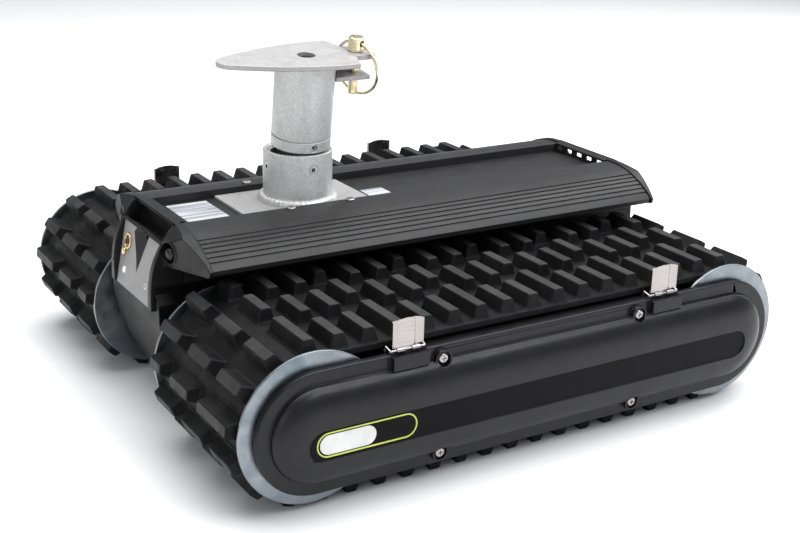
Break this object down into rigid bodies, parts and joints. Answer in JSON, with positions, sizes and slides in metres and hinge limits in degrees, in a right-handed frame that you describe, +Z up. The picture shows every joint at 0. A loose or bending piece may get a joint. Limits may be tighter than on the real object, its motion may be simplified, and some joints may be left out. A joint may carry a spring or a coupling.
{
  "type": "tracked trailer mover",
  "caption": "Low crawler with rubber tracks, a grooved deck and a tilting, swivelling hitch post that carries and moves a parked trailer or caravan by its coupling.",
  "frame": {"origin": "on the ground, under the middle of the machine's outline", "axes": "+X along the tracks towards the rear end, +Y towards the far track, +Z up"},
  "size_m": [0.618, 0.574, 0.3559],
  "materials": {
    "rubber": "moulded matte",
    "cover_black": "satin powder coat",
    "zinc": "zinc plated, dull",
    "deck_grey": "satin anodised",
    "cap_black": "fine texture",
    "pan_black": "semi-gloss powder coat",
    "panel_grey": "satin",
    "galvanised": "hot dip galvanised, speckled",
    "stainless": "bright",
    "steel": "machined",
    "yellow_zinc": "yellow passivated",
    "brass": "polished",
    "insert_black": "moulded",
    "lens_white": "clear white",
    "badge_green": "printed film",
    "label_white": "printed film",
    "motor_grey": "cast",
    "battery_black": "moulded",
    "pcb_box": "extruded"
  },
  "bodies": {
    "chassis": {"belt_near": "rubber", "cover_near": "cover_black", "track_frame_near": "pan_black", "gearmotor_near": "motor_grey", "belt_far": "rubber", "cover_far": "cover_black", "track_frame_far": "pan_black", "gearmotor_far": "motor_grey", "bearings": "steel", "cover_screws": "stainless", "badges": "badge_green", "hinge_wires": "stainless", "belly_pan": "pan_black", "deck": "deck_grey", "end_cap_front": "cap_black", "end_cap_rear": "cap_black", "panel_front": "panel_grey", "panel_rear": "panel_grey", "socket_ring": "brass", "socket_core": "insert_black", "socket_catch": "brass", "status_lens": "lens_white", "panel_screws": "steel", "cap_plugs": "insert_black", "base_plate": "galvanised", "socket_tube": "galvanised", "weld_bead": "galvanised", "base_screws": "stainless", "set_screws": "steel", "labels": "label_white", "tilt_yoke": "steel", "tilt_pin": "steel", "battery": "battery_black", "controller": "pcb_box"},
    "drum_front_near_body": {"drum_front_near": "steel", "discs_front_near": "zinc", "axle_front_near": "steel"},
    "drum_rear_near_body": {"drum_rear_near": "steel", "discs_rear_near": "zinc", "axle_rear_near": "steel"},
    "latch_front_near_body": {"latch_front_near": "stainless"},
    "latch_rear_near_body": {"latch_rear_near": "stainless"},
    "drum_front_far_body": {"drum_front_far": "steel", "discs_front_far": "zinc", "axle_front_far": "steel"},
    "drum_rear_far_body": {"drum_rear_far": "steel", "discs_rear_far": "zinc", "axle_rear_far": "steel"},
    "latch_front_far_body": {"latch_front_far": "stainless"},
    "latch_rear_far_body": {"latch_rear_far": "stainless"},
    "knuckle_body": {"knuckle": "steel", "spindle_nut": "steel"},
    "post_body": {"swivel_collar": "galvanised", "collar_screw": "steel", "post_tube": "galvanised", "hitch_plate": "galvanised", "pin_bracket": "galvanised"},
    "lock_pin_body": {"lock_pin": "yellow_zinc"},
    "pin_ring_body": {"pin_ring": "yellow_zinc"}
  },
  "joints": [
    {"name": "drum_front_near_spin", "type": "hinge", "parent": "chassis", "child": "drum_front_near_body", "pos_m": [-0.232, -0.17, 0.077], "axis": [0, 1, 0], "continuous": true},
    {"name": "drum_rear_near_spin", "type": "hinge", "parent": "chassis", "child": "drum_rear_near_body", "pos_m": [0.232, -0.17, 0.077], "axis": [0, 1, 0], "continuous": true},
    {"name": "latch_front_near_fold", "type": "hinge", "parent": "chassis", "child": "latch_front_near_body", "pos_m": [-0.1445, -0.271, 0.1346], "axis": [1, 0, 0], "range_deg": [0, 110]},
    {"name": "latch_rear_near_fold", "type": "hinge", "parent": "chassis", "child": "latch_rear_near_body", "pos_m": [0.1445, -0.271, 0.1346], "axis": [1, 0, 0], "range_deg": [0, 110]},
    {"name": "drum_front_far_spin", "type": "hinge", "parent": "chassis", "child": "drum_front_far_body", "pos_m": [-0.232, 0.17, 0.077], "axis": [0, 1, 0], "continuous": true},
    {"name": "drum_rear_far_spin", "type": "hinge", "parent": "chassis", "child": "drum_rear_far_body", "pos_m": [0.232, 0.17, 0.077], "axis": [0, 1, 0], "continuous": true},
    {"name": "latch_front_far_fold", "type": "hinge", "parent": "chassis", "child": "latch_front_far_body", "pos_m": [-0.1445, 0.271, 0.1346], "axis": [-1, 0, 0], "range_deg": [0, 110]},
    {"name": "latch_rear_far_fold", "type": "hinge", "parent": "chassis", "child": "latch_rear_far_body", "pos_m": [0.1445, 0.271, 0.1346], "axis": [-1, 0, 0], "range_deg": [0, 110]},
    {"name": "post_tilt", "type": "hinge", "parent": "chassis", "child": "knuckle_body", "pos_m": [-0.111, 0, 0.204], "axis": [1, 0, 0], "range_deg": [-15, 0]},
    {"name": "post_swivel", "type": "hinge", "parent": "knuckle_body", "child": "post_body", "pos_m": [-0.111, 0, 0.204], "axis": [0, -0.1305, 0.9914], "continuous": true},
    {"name": "pin_lift", "type": "slide", "parent": "post_body", "child": "lock_pin_body", "axis": [0, -0.1305, 0.9914], "range_m": [0, 0.046]},
    {"name": "ring_swing", "type": "hinge", "parent": "lock_pin_body", "child": "pin_ring_body", "pos_m": [-0.056, -0.01912, 0.34925], "axis": [0.342, -0.9317, -0.1227], "range_deg": [0, 165]}
  ],
  "couplings": [
    {"joint": "drum_front_near_spin", "follows": "drum_rear_near_spin", "ratio": 1},
    {"joint": "drum_front_far_spin", "follows": "drum_rear_far_spin", "ratio": 1},
    {"joint": "ring_swing", "follows": "pin_lift", "rad_per_m": 62.6}
  ]
}
